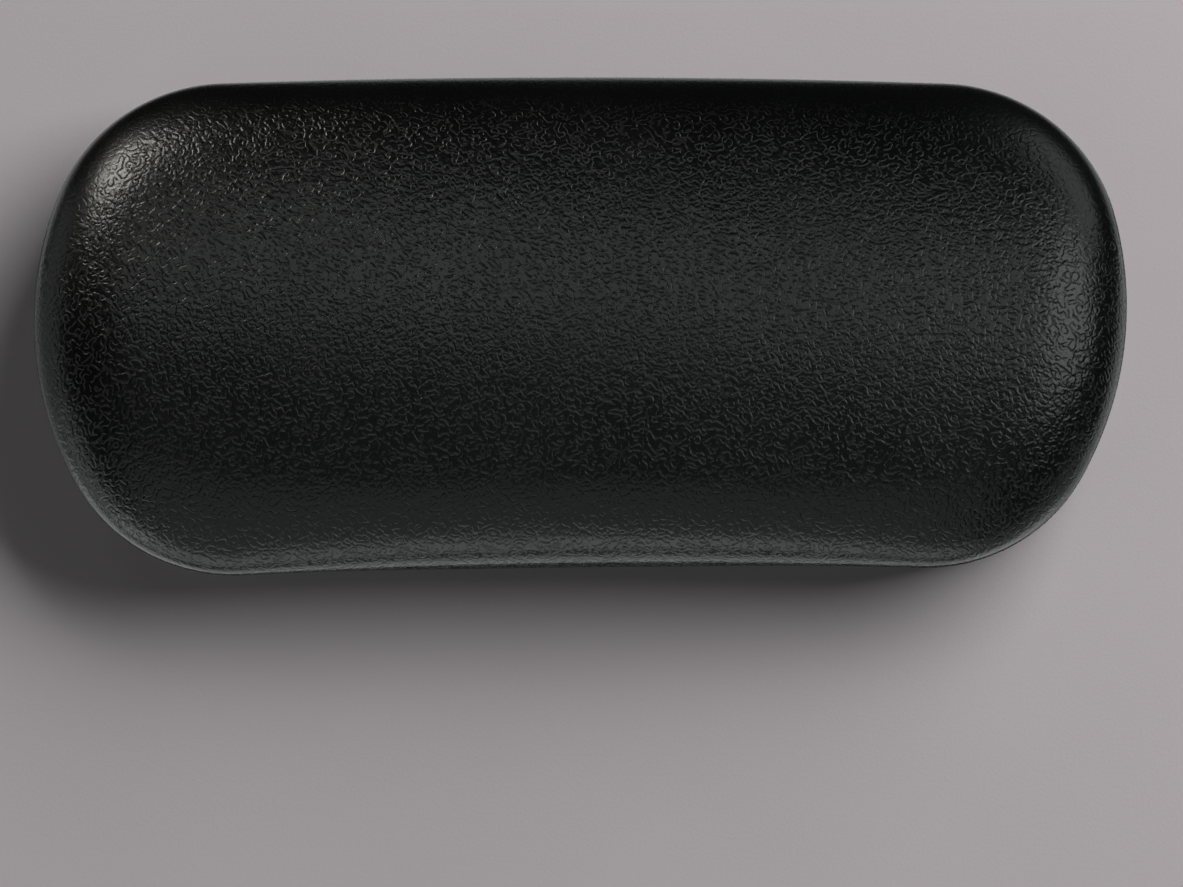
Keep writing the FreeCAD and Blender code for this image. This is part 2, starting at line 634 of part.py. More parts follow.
def check_features():
    """Stop if a feature failed, or if a cut took nothing away."""
    for feature in doc.Objects:
        if "Invalid" in feature.State or "Error" in feature.State:
            raise RuntimeError(f"{feature.Label} failed: {feature.State}")
        if feature.TypeId == "PartDesign::Pocket":
            before = feature.BaseFeature.Shape.Volume
            if before - feature.Shape.Volume < 1.0:
                raise RuntimeError(f"{feature.Label} cuts nothing")


def write_pieces(pieces):
    os.makedirs("parts", exist_ok=True)
    for piece in pieces:
        shape = piece.Shape
        if shape.isNull() or not shape.isValid() or len(shape.Solids) != 1:
            raise RuntimeError(f"{piece.Label} is not one valid solid")
        shape.exportStep(f"parts/{piece.Label}.step")
        box = shape.optimalBoundingBox(False)
        print(f"{piece.Label:18s} {shape.Volume / 1000:9.3f} cm3   "
              f"x {box.XMin:8.2f} {box.XMax:8.2f}   y {box.YMin:7.2f} {box.YMax:7.2f}   "
              f"z {box.ZMin:6.2f} {box.ZMax:6.2f}")


pieces = build()
check_features()
write_pieces(pieces)
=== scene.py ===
import math
import bpy
import bmesh
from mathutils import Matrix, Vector


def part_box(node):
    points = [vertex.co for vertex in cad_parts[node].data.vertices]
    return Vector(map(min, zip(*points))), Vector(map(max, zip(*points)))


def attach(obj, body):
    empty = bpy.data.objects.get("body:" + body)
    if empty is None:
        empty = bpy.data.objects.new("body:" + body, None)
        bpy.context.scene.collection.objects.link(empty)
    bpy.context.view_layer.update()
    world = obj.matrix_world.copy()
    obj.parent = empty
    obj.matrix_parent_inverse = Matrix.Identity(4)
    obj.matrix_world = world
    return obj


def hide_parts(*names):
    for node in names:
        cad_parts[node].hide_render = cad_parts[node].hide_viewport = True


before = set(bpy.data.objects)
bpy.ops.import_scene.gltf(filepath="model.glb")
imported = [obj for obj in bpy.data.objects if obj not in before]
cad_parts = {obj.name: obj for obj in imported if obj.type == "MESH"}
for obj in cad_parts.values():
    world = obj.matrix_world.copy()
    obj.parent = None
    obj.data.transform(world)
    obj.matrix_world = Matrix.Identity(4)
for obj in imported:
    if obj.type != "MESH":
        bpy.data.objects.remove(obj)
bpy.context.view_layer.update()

# A chair armrest pad. Its moulded skin and its foam are built here, round the pieces of the CAD model,
# which keep their own meshes and take a finish.

MM = 0.001

# ---- driving dimensions, in metres ------------------------------------------------------------

LOW, HIGH = (Vector(corner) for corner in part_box("skin"))
HALF_LENGTH = (HIGH.x - LOW.x) / 2
HALF_WIDTH = (HIGH.y - LOW.y) / 2
HEIGHT = HIGH.z - LOW.z

# the outline at the widest level: eight tangent arcs, and how far the end arcs sit sideways
RADIUS = {
    "outer_side": 2600 * MM,
    "rear_outer": 39 * MM,
    "rear_end": 78 * MM,
    "rear_inner": 40 * MM,
    "waist": 1800 * MM,
    "front_inner": 39 * MM,
    "front_end": 81 * MM,
    "front_outer": 39 * MM,
}
END_SHIFT = {"rear": 2.5 * MM, "front": 6.0 * MM}
SET_IN = {"rear": 0.0, "front": 1.7 * MM}     # how much narrower the pad is at its inner corners

WIDEST = 11 * MM            # level of the widest outline
UNDERCUT_END = 3.0 * MM     # how far the lip lies inside the widest outline, at the ends
UNDERCUT_WAIST = 1.0 * MM   # and at the middle of the waist
UNDERCUT_CURVE = 1.8        # exponent of the flank's curve from the lip to the widest level
WAIST_MIDDLE = 15 * MM      # the lip is set in least from the middle to this far along
WAIST_END = 78 * MM         # and fully from here
SIDEWAYS = 30 * MM          # from the middle line to where a long side counts fully as a side
LIP_BAND = 3.2 * MM         # height of the smooth band above the lip
LIP_BLEND = 0.3 * MM        # above and below that height, where the band steps out to the side
LIP_STEP = 0.25 * MM        # how far the band lies inside the grained side
LIP_EDGE = 0.8 * MM         # rounding of the lip's lower edge
CROWN_ALONG = 1440 * MM     # radii of the crowned top
CROWN_ACROSS = 208 * MM
SKIN = 1.5 * MM             # thickness of the moulded skin
OPENING = 14 * MM           # from the widest outline to the opening in the underside
RETURN_EDGE = 0.5 * MM      # rounding of the skin's edge at the opening
ROUND_MIDDLE = 0.3          # place of a small rounding's middle point, as a share of its radius
FIT_GAP = 0.05 * MM         # between pieces that are moulded or pressed together
SHOULDER_SIDE = 19 * MM     # how far the shoulder rounds inwards at the long sides
SHOULDER_END = 25 * MM      # and at the ends
SIDE_MIDDLE = 45 * MM       # the shoulder is a long side's from the middle to this far along
SIDE_END = 100 * MM         # and an end's from here
SHOULDER_FLATNESS = 2.5     # exponents of the shoulder's superellipse, inwards and upwards
SHOULDER_FULLNESS = 2.15

# how finely the meshes are divided
AROUND = 480                # points round the skin's outline
GRID_SHARE = 0.19           # share of them at each end, for the grid that fills the middle
SHOULDER_ROWS = 26
FLANK_ROWS = 14
LIP_ROWS = 5
SKIN_UNDER_ROWS = 6
FOAM_UNDER_ROWS = 4
POST_SIDES = 48
SHARP_ANGLE = 35            # degrees between faces from which an edge isn't shaded smooth

# colours, and the skin's grain
ZINC_SHEET = (0.62, 0.63, 0.64)
ZINC_TURNED = (0.66, 0.66, 0.64)
SKIN_COLOUR = (0.0016, 0.0018, 0.0017)
GRAIN_SIZE = 1.4 * MM       # spacing of the grain's winding grooves
GRAIN_RISE = 0.8 * MM       # height over which the grain comes in above the lip band
GRAIN_LOSS = 0.75           # share of its depth that it loses on the ends' rim and the outer shoulder
RIM_HEIGHT = 6 * MM         # height of the ends' rim above the widest level
FALL_BEGIN = 0.3 * MM       # how far below the crown the outer shoulder's grain begins to fade
FALL_END = 2.5 * MM         # and has faded
GROOVE_SLOPE = 0.045 * MM   # depth of the soft slopes towards the grooves
GROOVE_DEPTH = 0.013 * MM   # and of the grooves in them
PILLOW_DEPTH = 0.11 * MM    # of the soft swelling of the surface between them
PORE_SIZE = 0.12 * MM
PORE_DEPTH = 0.003 * MM
DUST_PITCH = 9 * MM         # of the places where a grain of dust may lie
DUST_COLOUR = (0.30, 0.28, 0.25)

# what the foam surrounds
FLANGE_BOTTOM = 5 * MM      # levels of the insert's flange
FLANGE_TOP = 8 * MM
FLANGE_EDGE = 5 * MM        # from the widest outline to the flange's edge
FLANGE_MIDDLE = OPENING - 4 * MM    # and to a ring under the flange, between the opening and its edge
CUP_RADIUS = 8.4 * MM       # the insert's nut cups
CUP_TOP = 13 * MM
BOSS_RADIUS = 4.6 * MM      # and its screw bosses
BOSS_TOP = 12 * MM
KEY_RADIUS = 2.5 * MM       # the flange's keying holes, which the foam fills
KEY_INSET = 10.3 * MM       # from the widest outline to their centres
KEY_PITCH = 15 * MM         # between them along the long sides
KEY_ANGLE = math.radians(13)    # and round the ends
KEY_PAST = 1 * MM           # how far the foam's keys reach past both faces of the flange

CAMERA_LENS = 110.1         # millimetres, on a sensor this wide
CAMERA_SENSOR = 36
CAMERA_AZIMUTH = -90        # degrees
CAMERA_ELEVATION = 78
CAMERA_DISTANCE = 0.8
CAMERA_TARGET = Vector((2.4 * MM, -24.7 * MM, 0))

FLOOR_COLOUR = (0.66, 0.61, 0.63)
WALL_COLOUR = (0.32, 0.30, 0.31)
STAGE_RADIUS = 3.0          # of the round floor, and the height of the wall
STAGE_SIDES = 96
WORLD_STRENGTH = 0.012

WHITE = (1.0, 1.0, 1.0)
COOL = (0.94, 1.0, 0.97)
WARM = (1.0, 0.98, 0.90)

# each light: name, azimuth and elevation in degrees, distance, width and height in metres, watts, colour
SOFT_LIGHTS = [
    ("key", 37, 25, 2.2, 2.6, 1.0, 73, WHITE),
    ("fill", -155, 25, 0.9, 0.9, 0.5, 0.6, WHITE),
]
GLOSS_CARDS = [
    ("card_overhead", 78, 72, 1.1, 1.2, 0.34, 1.25, COOL),
    ("card_right", 15, 46, 1.2, 0.6, 0.5, 2.2, COOL),
    ("card_end", 42, 22, 1.2, 0.7, 0.4, 0.8, COOL),
    ("card_corner", 130, 30, 1.1, 0.25, 0.25, 2.8, WARM),
    ("card_above", -90, 80, 1.2, 1.3, 0.5, 0.17, COOL),
    ("card_left", 172, 8, 0.9, 0.8, 0.4, 0.4, COOL),
    ("card_near_left", -150, 10, 0.9, 0.6, 0.4, 0.7, COOL),
    ("card_low_right", -40, 8, 0.9, 0.8, 0.4, 0.4, COOL),
    ("card_near", -104, 9, 1.0, 1.6, 0.4, 3.5, COOL),
    ("card_front", -98, 46, 1.1, 1.5, 1.0, 1.8, COOL),
    ("bounce_near", -97, -35, 0.4, 1.6, 0.3, 1.7, COOL),
    ("bounce_right", -20, -28, 0.5, 0.7, 0.4, 0.6, COOL),
    ("bounce_left", -160, -28, 0.5, 0.7, 0.4, 0.30, COOL),
    ("bounce_far", 90, -45, 0.5, 1.6, 0.3, 0.8, COOL),
]


# ---- the outline ------------------------------------------------------------------------------

def circle_crossing(first, first_radius, second, second_radius, side):
    """Where two circles cross, on the left (+1) or right (-1) of the line between their centres."""
    span = second - first
    along = (first_radius**2 - second_radius**2 + span.length_squared) / (2 * span.length)
    across = math.sqrt(first_radius**2 - along**2)
    direction = span.normalized()
    return first + direction * along + Vector((-direction.y, direction.x)) * side * across


def outline_centres():
    """Centres of the eight arcs, anticlockwise from the outer side."""
    rear = Vector((RADIUS["rear_end"] - HALF_LENGTH, END_SHIFT["rear"]))
    front = Vector((HALF_LENGTH - RADIUS["front_end"], END_SHIFT["front"]))
    outer = Vector((0, HALF_WIDTH - RADIUS["outer_side"]))

    def outer_corner(end, name, side):
        from_side = RADIUS["outer_side"] - RADIUS[name + "_outer"]
        from_end = RADIUS[name + "_end"] - RADIUS[name + "_outer"]
        return circle_crossing(outer, from_side, end, from_end, side)

    def inner_corner(end, name, direction):
        from_end = RADIUS[name + "_end"] - RADIUS[name + "_inner"]
        y = RADIUS[name + "_inner"] + SET_IN[name] - HALF_WIDTH
        return Vector((end.x + direction * math.sqrt(from_end**2 - (y - end.y)**2), y))

    rear_inner = inner_corner(rear, "rear", -1)
    front_inner = inner_corner(front, "front", 1)
    waist = circle_crossing(rear_inner, RADIUS["waist"] + RADIUS["rear_inner"],
                            front_inner, RADIUS["waist"] + RADIUS["front_inner"], -1)
    return {
        "outer_side": outer,
        "rear_outer": outer_corner(rear, "rear", 1),
        "rear_end": rear,
        "rear_inner": rear_inner,
        "waist": waist,
        "front_inner": front_inner,
        "front_end": front,
        "front_outer": outer_corner(front, "front", -1),
    }


def outline(count):
    """Evenly spaced points of the widest outline, each with its outward normal, anticlockwise."""
    centres = outline_centres()
    names = list(centres)
    turns = []                  # the outward normal's angle where each arc meets the next
    for i, name in enumerate(names):
        other = names[(i + 1) % len(names)]
        outward = centres[other] - centres[name]
        if name == "waist" or (other != "waist" and RADIUS[name] < RADIUS[other]):
            outward = -outward
        turns.append(math.atan2(outward.y, outward.x))
    arcs = []
    for i, name in enumerate(names):
        bow = -1 if name == "waist" else 1      # the waist is hollow, the other arcs are round
        sweep = bow * ((turns[i] - turns[i - 1]) * bow % (2 * math.pi))
        arcs.append((centres[name], RADIUS[name] * bow, turns[i - 1], sweep))
    lengths = [abs(radius * sweep) for centre, radius, begin, sweep in arcs]
    total = sum(lengths)
    points = []
    for k in range(count):
        place = total * k / count
        i = 0
        while place > lengths[i]:
            place -= lengths[i]
            i += 1
        centre, radius, begin, sweep = arcs[i]
        angle = begin + sweep * place / lengths[i]
        normal = Vector((math.cos(angle), math.sin(angle)))
        points.append((centre + normal * radius, normal))
    return points


# ---- the pad's section ------------------------------------------------------------------------

def smooth(value, low, high):
    """0 below low, 1 above high, with level ends."""
    t = min(max((value - low) / (high - low), 0.0), 1.0)
    return t * t * (3 - 2 * t)


def crown_level(x, y, below):
    """Level of the crowned top over a point, or of a surface that lies this far below it."""
    along = CROWN_ALONG - math.sqrt(CROWN_ALONG**2 - x * x)
    across = CROWN_ACROSS - math.sqrt(CROWN_ACROSS**2 - y * y)
    return HEIGHT - along - across - below


def side_share(point):
    """1 along the straight stretch of a long side, 0 at the ends."""
    return 1 - smooth(abs(point.x), SIDE_MIDDLE, SIDE_END)


def undercut(point):
    """How far the lip lies inside the widest outline. It is least at the middle of the waist."""
    waist = (1 - smooth(abs(point.x), WAIST_MIDDLE, WAIST_END)) * smooth(-point.y, 0, SIDEWAYS)
    return UNDERCUT_END + (UNDERCUT_WAIST - UNDERCUT_END) * waist


def flank(point, below):
    """Rows (inset, level) up the side to the widest level, of a surface this far below the outside."""
    cut = undercut(point)
    rows = []
    if below == 0:
        for step in range(LIP_ROWS):        # the rounded edge of the lip
            angle = math.pi / 2 * step / LIP_ROWS
            rows.append((cut + LIP_EDGE * (1 - math.sin(angle)), LIP_EDGE * (1 - math.cos(angle))))
        foot = LIP_EDGE
    else:
        foot = below
    for step in range(FLANK_ROWS + 1):
        level = foot + (WIDEST - foot) * step / FLANK_ROWS
        inset = cut * (1 - level / WIDEST)**UNDERCUT_CURVE + below
        if below == 0:
            inset += LIP_STEP * (1 - smooth(level, LIP_BAND - LIP_BLEND, LIP_BAND + LIP_BLEND))
        rows.append((inset, level))
    return rows


def shoulder(point, normal, below):
    """Rows (inset, level) on from the widest level to the shoulder's inner edge."""
    reach = SHOULDER_END + (SHOULDER_SIDE - SHOULDER_END) * side_share(point)
    rows = []
    for step in range(1, SHOULDER_ROWS + 1):
        angle = math.pi / 2 * step / SHOULDER_ROWS
        inset = below + reach * (1 - max(math.cos(angle), 0)**(2 / SHOULDER_FLATNESS))
        place = point - normal * inset
        top = crown_level(place.x, place.y, below)
        rows.append((inset, WIDEST + (top - WIDEST) * math.sin(angle)**(2 / SHOULDER_FULLNESS)))
    return rows


def rising(below):
    """Flank and shoulder from the bottom up, as a profile for Shell.rings."""
    return lambda point, normal: flank(point, below) + shoulder(point, normal, below)


def falling(below):
    """The same from the top down."""
    return lambda point, normal: rising(below)(point, normal)[::-1]


# ---- mesh helpers -----------------------------------------------------------------------------

class Shell:
    """Collects rings of vertices, each parallel to the outline, and the faces between them."""

    def __init__(self, count):
        self.points = outline(count)
        self.count = count
        self.verts = []
        self.faces = []

    def ring(self, rows):
        """Add one ring. rows holds an (inset, level) pair for each point of the outline."""
        first = len(self.verts)
        for (point, normal), (inset, level) in zip(self.points, rows):
            place = point - normal * inset
            self.verts.append((place.x, place.y, level))
        return list(range(first, first + self.count))

    def rings(self, profile):
        """Add the rings of a profile, a function that gives (inset, level) rows at a point."""
        columns = [profile(point, normal) for point, normal in self.points]
        return [self.ring([column[row] for column in columns]) for row in range(len(columns[0]))]

    def join(self, rings):
        """Add the faces between each ring and the next."""
        for lower, upper in zip(rings, rings[1:]):
            for i in range(self.count):
                k = (i + 1) % self.count
                self.faces.append((lower[i], lower[k], upper[k], upper[i]))

    def fill(self, ring, level, facing_up=True):
        """Fill a ring with a grid of four-sided faces at the level given for each place."""
        across = int(self.count * GRID_SHARE)
        along = self.count // 2 - across
        waist = min(range(self.count), key=lambda k: abs(self.points[k][0].x) + self.points[k][0].y)
        start = waist - along // 2
        loop = [ring[(start + i) % self.count] for i in range(self.count + 1)]
        near = loop[:along + 1]
        front = loop[along:along + across + 1]
        far = loop[along + across:2 * along + across + 1][::-1]
        rear = loop[2 * along + across:][::-1]
        spot = {index: Vector(self.verts[index][:2]) for index in ring}
        rows = [near]
        for j in range(1, across):
            v = j / across
            row = [rear[j]]
            for i in range(1, along):
                u = i / along
                place = spot[near[i]] * (1 - v) + spot[far[i]] * v
                place += spot[rear[j]] * (1 - u) + spot[front[j]] * u
                place -= (spot[near[0]] * (1 - u) + spot[near[-1]] * u) * (1 - v)
                place -= (spot[far[0]] * (1 - u) + spot[far[-1]] * u) * v
                row.append(len(self.verts))
                self.verts.append((place.x, place.y, level(place.x, place.y)))
            rows.append(row + [front[j]])
        rows.append(far)
        for lower, upper in zip(rows, rows[1:]):
            for i in range(along):
                face = (lower[i], lower[i + 1], upper[i + 1], upper[i])
                self.faces.append(face if facing_up else face[::-1])

    def make(self, name):
        """Make the object of all that was added."""
        mesh = bpy.data.meshes.new(name)
        mesh.from_pydata(self.verts, [], self.faces)
        return finish_mesh(mesh, name)


def link_object(name, data):
    """Make an object of a mesh, light or camera and put it in the scene."""
    thing = bpy.data.objects.new(name, data)
    bpy.context.scene.collection.objects.link(thing)
    return thing


def finish_mesh(mesh, name):
    """Point the faces outwards, shade them smooth but for real edges, and make the object."""
    shape = bmesh.new()
    shape.from_mesh(mesh)
    bmesh.ops.recalc_face_normals(shape, faces=shape.faces)
    shape.to_mesh(mesh)
    shape.free()
    mesh.shade_smooth()
    mesh.set_sharp_from_angle(angle=math.radians(SHARP_ANGLE))
    return link_object(name, mesh)


# ---- the skin ---------------------------------------------------------------------------------

def grain_depth(place):
    """The grain's depth on the outside, 0 to 1: none on the smooth lip band, less on the ends' rim and
    on the outer side's shoulder."""
    depth = smooth(place.z, LIP_BAND, LIP_BAND + GRAIN_RISE)
    rim = 1 - smooth(place.z, WIDEST, WIDEST + RIM_HEIGHT)
    depth *= 1 - GRAIN_LOSS * rim * (1 - side_share(place))
    steep = smooth(crown_level(place.x, place.y, 0) - place.z, FALL_BEGIN, FALL_END)
    return depth * (1 - GRAIN_LOSS * steep * smooth(place.y, 0, SIDEWAYS))


def make_skin():
    """A closed shell: outside, lip, the return under the edge, and the inside."""
    shell = Shell(AROUND)
    inside = shell.rings(falling(SKIN))
    edge = OPENING - FIT_GAP
    middle = RETURN_EDGE * ROUND_MIDDLE
    opening = shell.rings(lambda point, normal: [
        (edge, SKIN),
        (edge, SKIN / 2),
        (edge, RETURN_EDGE),
        (edge - middle, middle),
        (edge - RETURN_EDGE, 0)])
    under = shell.rings(lambda point, normal: [
        (edge + (undercut(point) + LIP_EDGE + LIP_STEP - edge) * step / SKIN_UNDER_ROWS, 0)
        for step in range(1, SKIN_UNDER_ROWS)])
    outside = shell.rings(rising(0))
    shell.join(inside + opening + under + outside)
    shell.fill(inside[0], lambda x, y: crown_level(x, y, SKIN), facing_up=False)
    shell.fill(outside[-1], lambda x, y: crown_level(x, y, 0))
    skin = shell.make("moulded_skin")

    # the inside's rings and the opening's edge come first, and aren't grained
    grain = skin.data.attributes.new("grain", "FLOAT", "POINT")
    inner_count = (len(inside) + len(opening)) * AROUND
    for i, vertex in enumerate(skin.data.vertices):
        grain.data[i].value = grain_depth(vertex.co) if i >= inner_count else 0.0
    return skin


# ---- the foam ---------------------------------------------------------------------------------

def key_places():
    """Where the foam passes through the flange: nine holes along each side, five round each end."""
    places = []
    for side in (-1, 1):
        for step in range(-4, 5):
            places.append(Vector((step * KEY_PITCH, side * (HALF_WIDTH - KEY_INSET))))
    centres = outline_centres()
    for name, facing in (("rear_end", math.pi), ("front_end", 0.0)):
        for step in range(-2, 3):
            angle = facing + step * KEY_ANGLE
            arm = Vector((math.cos(angle), math.sin(angle))) * (RADIUS[name] - KEY_INSET)
            places.append(centres[name] + arm)
    return places


def posts(name, stands):
    """Upright cylinders in one object. Each stand is (place, radius, bottom, top)."""
    shape = bmesh.new()
    for place, radius, bottom, top in stands:
        made = bmesh.ops.create_cone(shape, cap_ends=True, segments=POST_SIDES, radius1=radius,
                                     radius2=radius, depth=top - bottom)
        middle = Vector((place.x, place.y, (bottom + top) / 2))
        bmesh.ops.translate(shape, verts=made["verts"], vec=middle)
    mesh = bpy.data.meshes.new(name)
    shape.to_mesh(mesh)
    shape.free()
    return link_object(name, mesh)


def nodes_named(start):
    """The CAD nodes whose names start like this."""
    return [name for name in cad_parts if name.startswith(start)]


def centre_of(node):
    """The middle of a CAD node's box."""
    low, high = (Vector(corner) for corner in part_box(node))
    return (low + high) / 2


def make_foam():
    """The foam between the skin and the insert: a form round the flange, hollow for cups and bosses."""
    depth = SKIN + FIT_GAP
    shell = Shell(AROUND // 2)
    outside = shell.rings(falling(depth))
    mouth = OPENING + FIT_GAP
    under = shell.rings(lambda point, normal: [
        (undercut(point) + depth + (mouth - undercut(point) - depth) * step / FOAM_UNDER_ROWS, depth)
        for step in range(1, FOAM_UNDER_ROWS + 1)])
    room = shell.rings(lambda point, normal: [
        (mouth, FLANGE_BOTTOM - FIT_GAP),
        (FLANGE_MIDDLE, FLANGE_BOTTOM - FIT_GAP),
        (FLANGE_EDGE - FIT_GAP, FLANGE_BOTTOM - FIT_GAP),
        (FLANGE_EDGE - FIT_GAP, FLANGE_TOP + FIT_GAP),
        (OPENING, FLANGE_TOP + FIT_GAP)])
    shell.join(outside + under + room)
    shell.fill(outside[0], lambda x, y: crown_level(x, y, depth))
    shell.fill(room[-1], lambda x, y: FLANGE_TOP + FIT_GAP, facing_up=False)
    foam = shell.make("foam_cushion")

    nuts, bushes = nodes_named("clinch_nut"), nodes_named("brass_insert")
    hollows = [(centre_of(node), radius + FIT_GAP, FLANGE_BOTTOM, top + FIT_GAP)
               for nodes, radius, top in ((nuts, CUP_RADIUS, CUP_TOP), (bushes, BOSS_RADIUS, BOSS_TOP))
               for node in nodes]
    keys = [(place, KEY_RADIUS - FIT_GAP, FLANGE_BOTTOM - KEY_PAST, FLANGE_TOP + KEY_PAST)
            for place in key_places()]
    tools = {"DIFFERENCE": posts("hollows", hollows), "UNION": posts("keys", keys)}
    for operation, tool in tools.items():
        cut = foam.modifiers.new(operation.lower(), "BOOLEAN")
        cut.operation = operation
        cut.solver = "EXACT"
        cut.object = tool
    carved = foam.evaluated_get(bpy.context.evaluated_depsgraph_get())
    mesh = bpy.data.meshes.new_from_object(carved)
    for spent in (*tools.values(), foam):
        bpy.data.objects.remove(spent)
    return finish_mesh(mesh, "foam_cushion")


# ---- materials --------------------------------------------------------------------------------

def shade(colour, share):
    """A colour at this share of its brightness."""
    return tuple(share * c for c in colour)


class Material:
    """A node material under construction."""

    def __init__(self, name, colour, roughness, metallic=0.0):
        self.material = bpy.data.materials.new(name)
        self.material.use_nodes = True
        self.tree = self.material.node_tree
        self.shader = self.tree.nodes["Principled BSDF"]
        self.shader.inputs["Base Color"].default_value = (*colour, 1)
        self.shader.inputs["Roughness"].default_value = roughness
        self.shader.inputs["Metallic"].default_value = metallic
        self.place = self.node("ShaderNodeTexCoord").outputs["Object"]

    def node(self, kind, settings=None, **inputs):
        """Add a node. Inputs are given by name, with _ for spaces, as a value or a socket."""
        node = self.tree.nodes.new(kind)
        for key, value in (settings or {}).items():
            setattr(node, key, value)
        for key, value in inputs.items():
            self.feed(node.inputs[key.replace("_", " ")], value)
        return node

    def feed(self, socket, value):
        """Give an input a plain value, or link it to an output."""
        if isinstance(value, bpy.types.NodeSocket):
            self.tree.links.new(value, socket)
        else:
            socket.default_value = value

    def noise(self, size, detail=2.0, **inputs):
        """Noise whose features are about this far apart, in metres."""
        inputs = {"Vector": self.place, "Scale": 1 / size, "Detail": detail, **inputs}
        return self.node("ShaderNodeTexNoise", **inputs).outputs["Fac"]

    def math(self, operation, first, second=0.0):
        """Calculate with values or sockets."""
        node = self.node("ShaderNodeMath", {"operation": operation})
        self.feed(node.inputs[0], first)
        self.feed(node.inputs[1], second)
        return node.outputs[0]

    def spread(self, value, low, high, to_low=0.0, to_high=1.0):
        """Smoothly map low..high of a value to other numbers, held at both ends."""
        node = self.node("ShaderNodeMapRange", {"interpolation_type": "SMOOTHSTEP"}, Value=value)
        node.inputs["From Min"].default_value = low
        node.inputs["From Max"].default_value = high
        node.inputs["To Min"].default_value = to_low
        node.inputs["To Max"].default_value = to_high
        return node.outputs["Result"]

    def blend(self, share, first, second):
        """Mix two colours, each plain or a socket, by the share that the second has."""
        node = self.node("ShaderNodeMix", {"data_type": "RGBA"}, Factor=share)
        slots = [socket for socket in node.inputs if socket.type == "RGBA"]
        for socket, colour in zip(slots, (first, second)):
            self.feed(socket, (*colour, 1) if isinstance(colour, tuple) else colour)
        return next(socket for socket in node.outputs if socket.type == "RGBA")

    def bump(self, height, depth):
        """Raise the surface by a 0 to 1 height, of the given depth in metres, over any bump before."""
        node = self.node("ShaderNodeBump", Height=height, Distance=depth, Strength=1.0)
        normal = self.shader.inputs["Normal"]
        if normal.is_linked:
            self.tree.links.new(normal.links[0].from_socket, node.inputs["Normal"])
        self.link(node.outputs["Normal"], "Normal")

    def link(self, socket, name):
        """Drive one of the shader's inputs."""
        self.tree.links.new(socket, self.shader.inputs[name])


def skin_material():
    """Self-skinned black polyurethane: smooth plateaus between narrow winding grooves."""
    m = Material("black_moulded_skin", SKIN_COLOUR, 0.35)
    m.shader.inputs["Specular IOR Level"].default_value = 0.5
    m.shader.inputs["Sheen Weight"].default_value = 0.10
    m.shader.inputs["Sheen Roughness"].default_value = 0.15
    grain = m.node("ShaderNodeAttribute", {"attribute_name": "grain"}).outputs["Fac"]
    # turned askew, so that no row of the noise lies along the pad
    m.place = m.node("ShaderNodeMapping", Vector=m.place, Rotation=(0.6, 0.9, 0.4)).outputs["Vector"]

    # a groove runs where one noise crosses its middle value, and stops where another is low
    winding = m.noise(GRAIN_SIZE, detail=0.0)
    distance = m.math("ABSOLUTE", m.math("SUBTRACT", winding, 0.5))
    gaps = m.spread(m.noise(GRAIN_SIZE * 0.9, detail=0.0), 0.30, 0.44)
    broken = m.math("MULTIPLY", gaps, grain)
    groove = m.math("MULTIPLY", m.spread(distance, 0.008, 0.058, 1.0, 0.0), broken)
    slope = m.math("MULTIPLY", m.spread(distance, 0.0, 0.17, 1.0, 0.0), broken)
    pillow = m.math("MULTIPLY", m.noise(GRAIN_SIZE * 0.8, detail=1.0), grain)
    m.bump(m.math("SUBTRACT", 1.0, slope), depth=GROOVE_SLOPE)
    m.bump(m.math("SUBTRACT", 1.0, groove), depth=GROOVE_DEPTH)
    m.bump(pillow, depth=PILLOW_DEPTH)
    m.bump(m.noise(PORE_SIZE), depth=PORE_DEPTH)

    # cloudy gloss, rougher grooves whose colour is darkened with painted shade, and a few specks of dust
    cloud = m.noise(28 * MM, detail=3.0)
    dust = m.node("ShaderNodeTexVoronoi", {"feature": "F1"}, Vector=m.place, Scale=1 / DUST_PITCH)
    chosen = m.math("GREATER_THAN", dust.outputs["Color"], 0.86)
    speck = m.math("MULTIPLY", m.spread(dust.outputs["Distance"], 0.016, 0.008), chosen)
    tone_and_groove_shade = m.blend(cloud, shade(SKIN_COLOUR, 0.85), shade(SKIN_COLOUR, 1.15))
    # painted shade: the colour is darkened in the grooves, where shade would fall in them
    tone_and_groove_shade = m.blend(m.math("MULTIPLY", groove, 0.5), tone_and_groove_shade, shade(SKIN_COLOUR, 0.5))
    m.link(m.blend(m.math("MULTIPLY", speck, 0.5), tone_and_groove_shade, DUST_COLOUR), "Base Color")
    rough = m.math("ADD", m.spread(cloud, 0.3, 0.7, 0.22, 0.27), m.math("MULTIPLY", groove, 0.20))
    m.link(rough, "Roughness")
    return m.material


def foam_material():
    """Dark open-cell foam: small pits between thin walls, the pits darkened with painted shade."""
    m = Material("foam", (0.05, 0.05, 0.052), 0.9)
    cell = m.node("ShaderNodeTexVoronoi", {"feature": "DISTANCE_TO_EDGE"}, Vector=m.place,
                  Scale=1 / (0.6 * MM))
    wall = m.spread(cell.outputs["Distance"], 0.02, 0.22, 1.0, 0.0)
    m.bump(wall, depth=0.25 * MM)
    # painted shade: the pits are coloured darker than the walls, as shade in the hollows
    m.link(m.blend(wall, (0.018, 0.018, 0.019), (0.075, 0.075, 0.078)), "Base Color")
    m.link(m.spread(m.noise(3 * MM), 0.3, 0.7, 0.84, 0.96), "Roughness")
    return m.material


